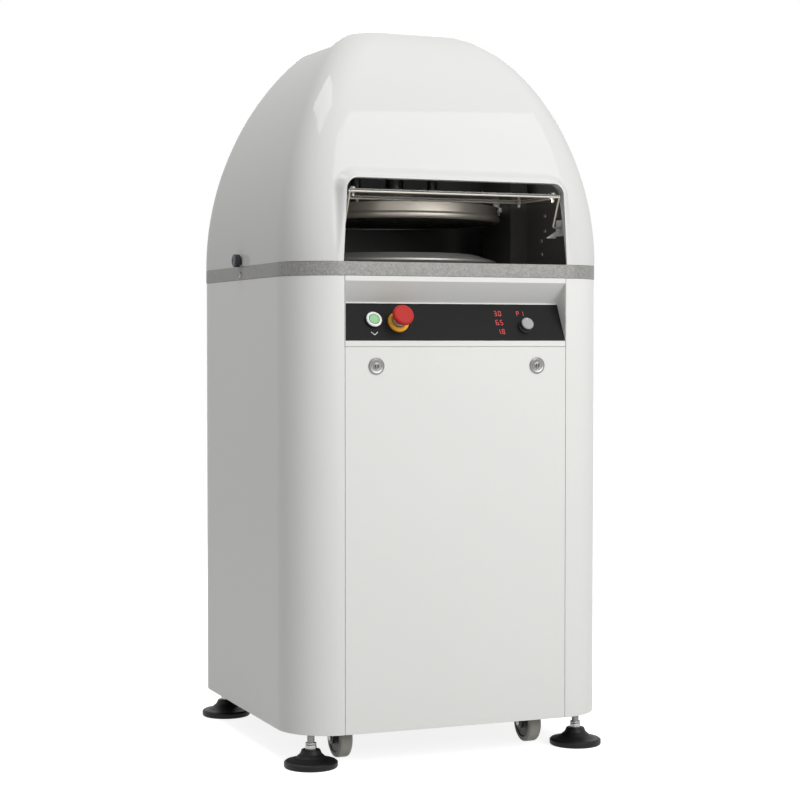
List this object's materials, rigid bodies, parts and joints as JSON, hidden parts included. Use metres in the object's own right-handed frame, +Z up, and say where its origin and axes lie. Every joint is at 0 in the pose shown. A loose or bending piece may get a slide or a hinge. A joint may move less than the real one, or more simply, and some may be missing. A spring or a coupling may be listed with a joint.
{
  "type": "dough divider rounder",
  "caption": "Floor-standing dough divider rounder: domed hood with a front window, dividing head over an orbiting moulding plate, sloped control recess, cabinet on feet and castors.",
  "frame": {"origin": "on the floor under the centre of the machine's plan", "axes": "+X to the right seen from the front, +Y to the back, +Z up"},
  "size_m": [0.671, 0.6661, 1.3873],
  "materials": {
    "cover_paint": "satin powder coat",
    "frame_paint": "dark satin paint",
    "ring_grey": "speckled grey hammered coat",
    "hood_shell": "glossy moulded shell",
    "fascia_black": "dark semi-gloss film",
    "display_red": "lit red bars",
    "button_white": "glossy",
    "button_green": "translucent glossy",
    "stop_yellow": "glossy",
    "stop_grey": "satin",
    "stop_red": "satin gloss",
    "dial_black": "satin",
    "dial_grey": "satin",
    "lock_chrome": "polished",
    "stainless": "turned and brushed",
    "bright_rod": "ground and plated",
    "plate_alloy": "turned",
    "shaft_steel": "ground",
    "pulley_iron": "machined",
    "housing_iron": "as cast",
    "belt_rubber": "matte",
    "motor_paint": "satin paint",
    "tank_paint": "satin paint",
    "box_paint": "textured powder coat",
    "press_white": "food-grade satin",
    "sensor_grey": "satin",
    "guard_clear": "clear smoked sheet",
    "knob_dark": "knurled satin",
    "foot_black": "moulded satin",
    "castor_black": "satin",
    "wheel_grey": "matte tread"
  },
  "bodies": {
    "frame": {"base_frame": "frame_paint", "side_cover_left": "cover_paint", "side_cover_right": "cover_paint", "rear_cover": "cover_paint", "screws": "stainless", "control_console": "cover_paint", "control_fascia": "fascia_black", "display_digits": "display_red", "start_button_body": "button_white", "estop_base": "stop_yellow", "dial_encoder": "dial_black", "top_ring": "ring_grey", "bearing_housing": "housing_iron", "main_bearings": "shaft_steel", "drive_belt": "belt_rubber", "rounding_motor": "motor_paint", "oil_tank": "tank_paint", "pump_motor": "motor_paint", "oil_pipe": "shaft_steel", "electrical_box": "box_paint", "cable_gland": "knob_dark", "press_cylinder": "shaft_steel", "press_frame": "frame_paint", "side_plates": "frame_paint", "head_sensor": "sensor_grey", "castor_forks": "castor_black"},
    "panel": {"access_panel": "cover_paint", "lock_housings": "lock_chrome"},
    "lock_left": {"lock_cam_left": "lock_chrome"},
    "lock_right": {"lock_cam_right": "lock_chrome"},
    "start_button": {"start_button_cap": "button_green"},
    "stop_stem": {"estop_stem": "stop_grey"},
    "stop_head": {"estop_mushroom": "stop_red"},
    "dial": {"dial_knob": "dial_grey"},
    "crank": {"main_crank": "shaft_steel", "driven_pulley": "pulley_iron"},
    "table": {"rounding_table": "plate_alloy"},
    "plate": {"moulding_plate": "plate_alloy"},
    "side_crank_left": {"side_crank_left": "shaft_steel"},
    "side_crank_right": {"side_crank_right": "shaft_steel"},
    "motor_rotor": {"motor_pulley": "pulley_iron"},
    "head": {"press_ram": "bright_rod", "guide_rods": "bright_rod", "head_plate": "stainless", "press_ring": "stainless", "knife_set": "stainless"},
    "press": {"press_plates": "press_white"},
    "guard": {"guard_frame": "bright_rod", "guard_panel": "guard_clear"},
    "hood": {"hood": "hood_shell"},
    "hood_knob_left": {"hood_knob_left": "knob_dark"},
    "hood_knob_right": {"hood_knob_right": "knob_dark"},
    "foot_front_left": {"foot_front_left": "foot_black"},
    "foot_front_right": {"foot_front_right": "foot_black"},
    "foot_rear_left": {"foot_rear_left": "foot_black"},
    "foot_rear_right": {"foot_rear_right": "foot_black"},
    "wheel_front_left": {"castor_wheel_front_left": "wheel_grey"},
    "wheel_front_right": {"castor_wheel_front_right": "wheel_grey"},
    "wheel_rear_left": {"castor_wheel_rear_left": "wheel_grey"},
    "wheel_rear_right": {"castor_wheel_rear_right": "wheel_grey"}
  },
  "joints": [
    {"name": "panel_out", "type": "slide", "parent": "frame", "child": "panel", "axis": [0, -1, 0], "range_m": [0, 0.25]},
    {"name": "lock_left_turn", "type": "hinge", "parent": "panel", "child": "lock_left", "pos_m": [-0.162, -0.317, 0.734], "axis": [0, 1, 0], "range_deg": [0, 90]},
    {"name": "lock_right_turn", "type": "hinge", "parent": "panel", "child": "lock_right", "pos_m": [0.162, -0.317, 0.734], "axis": [0, 1, 0], "range_deg": [-90, 0]},
    {"name": "start_push", "type": "slide", "parent": "frame", "child": "start_button", "axis": [0, 0.8868, -0.4621], "range_m": [0, 0.004], "stiffness_N_per_m": 500, "springref_m": -0.002},
    {"name": "stop_push", "type": "slide", "parent": "frame", "child": "stop_stem", "axis": [0, 0.8868, -0.4621], "range_m": [0, 0.005]},
    {"name": "stop_twist", "type": "hinge", "parent": "stop_stem", "child": "stop_head", "pos_m": [-0.113, -0.2989, 0.81281], "axis": [0, -0.8868, 0.4621], "range_deg": [-45, 0], "stiffness_Nm_per_rad": 0.05},
    {"name": "dial_turn", "type": "hinge", "parent": "frame", "child": "dial", "pos_m": [0.143, -0.3026, 0.80572], "axis": [0, -0.8868, 0.4621], "continuous": true},
    {"name": "crank_turn", "type": "hinge", "parent": "frame", "child": "crank", "pos_m": [0, 0, 0.9], "axis": [0, 0, 1], "continuous": true},
    {"name": "table_orbit", "type": "hinge", "parent": "crank", "child": "table", "pos_m": [0, 0.008, 0.92], "axis": [0, 0, 1], "continuous": true},
    {"name": "plate_out", "type": "slide", "parent": "table", "child": "plate", "axis": [0, -1, 0], "range_m": [0, 0.45]},
    {"name": "side_crank_left_turn", "type": "hinge", "parent": "frame", "child": "side_crank_left", "pos_m": [-0.13, 0.075, 0.9], "axis": [0, 0, 1], "continuous": true},
    {"name": "side_crank_right_turn", "type": "hinge", "parent": "frame", "child": "side_crank_right", "pos_m": [0.13, 0.075, 0.9], "axis": [0, 0, 1], "continuous": true},
    {"name": "motor_turn", "type": "hinge", "parent": "frame", "child": "motor_rotor", "pos_m": [0.13, 0.11, 0.78], "axis": [0, 0, 1], "continuous": true},
    {"name": "head_stroke", "type": "slide", "parent": "frame", "child": "head", "axis": [0, 0, 1], "range_m": [-0.06, 0]},
    {"name": "press_yield", "type": "slide", "parent": "head", "child": "press", "axis": [0, 0, 1], "range_m": [0, 0.01]},
    {"name": "guard_tilt", "type": "hinge", "parent": "frame", "child": "guard", "pos_m": [0, -0.285, 0.995], "axis": [1, 0, 0], "range_deg": [0, 12]},
    {"name": "hood_lift", "type": "slide", "parent": "frame", "child": "hood", "axis": [0, 0, 1], "range_m": [0, 0.5]},
    {"name": "hood_knob_left_turn", "type": "hinge", "parent": "hood", "child": "hood_knob_left", "pos_m": [-0.32, 0, 0.935], "axis": [1, 0, 0], "continuous": true},
    {"name": "hood_knob_right_turn", "type": "hinge", "parent": "hood", "child": "hood_knob_right", "pos_m": [0.32, 0, 0.935], "axis": [1, 0, 0], "continuous": true},
    {"name": "foot_front_left_level", "type": "slide", "parent": "frame", "child": "foot_front_left", "axis": [0, 0, 1], "range_m": [-0.01, 0.01]},
    {"name": "foot_rear_left_level", "type": "slide", "parent": "frame", "child": "foot_rear_left", "axis": [0, 0, 1], "range_m": [-0.01, 0.01]},
    {"name": "foot_front_right_level", "type": "slide", "parent": "frame", "child": "foot_front_right", "axis": [0, 0, 1], "range_m": [-0.01, 0.01]},
    {"name": "foot_rear_right_level", "type": "slide", "parent": "frame", "child": "foot_rear_right", "axis": [0, 0, 1], "range_m": [-0.01, 0.01]},
    {"name": "wheel_front_left_roll", "type": "hinge", "parent": "frame", "child": "wheel_front_left", "pos_m": [-0.1945, -0.212, 0.0395], "axis": [1, 0, 0], "continuous": true},
    {"name": "wheel_rear_left_roll", "type": "hinge", "parent": "frame", "child": "wheel_rear_left", "pos_m": [-0.1945, 0.212, 0.0395], "axis": [1, 0, 0], "continuous": true},
    {"name": "wheel_front_right_roll", "type": "hinge", "parent": "frame", "child": "wheel_front_right", "pos_m": [0.1945, -0.212, 0.0395], "axis": [1, 0, 0], "continuous": true},
    {"name": "wheel_rear_right_roll", "type": "hinge", "parent": "frame", "child": "wheel_rear_right", "pos_m": [0.1945, 0.212, 0.0395], "axis": [1, 0, 0], "continuous": true}
  ],
  "couplings": [
    {"joint": "table_orbit", "follows": "crank_turn", "ratio": -1},
    {"joint": "side_crank_left_turn", "follows": "crank_turn", "ratio": 1},
    {"joint": "side_crank_right_turn", "follows": "crank_turn", "ratio": 1},
    {"joint": "motor_turn", "follows": "crank_turn", "ratio": 2.25}
  ]
}
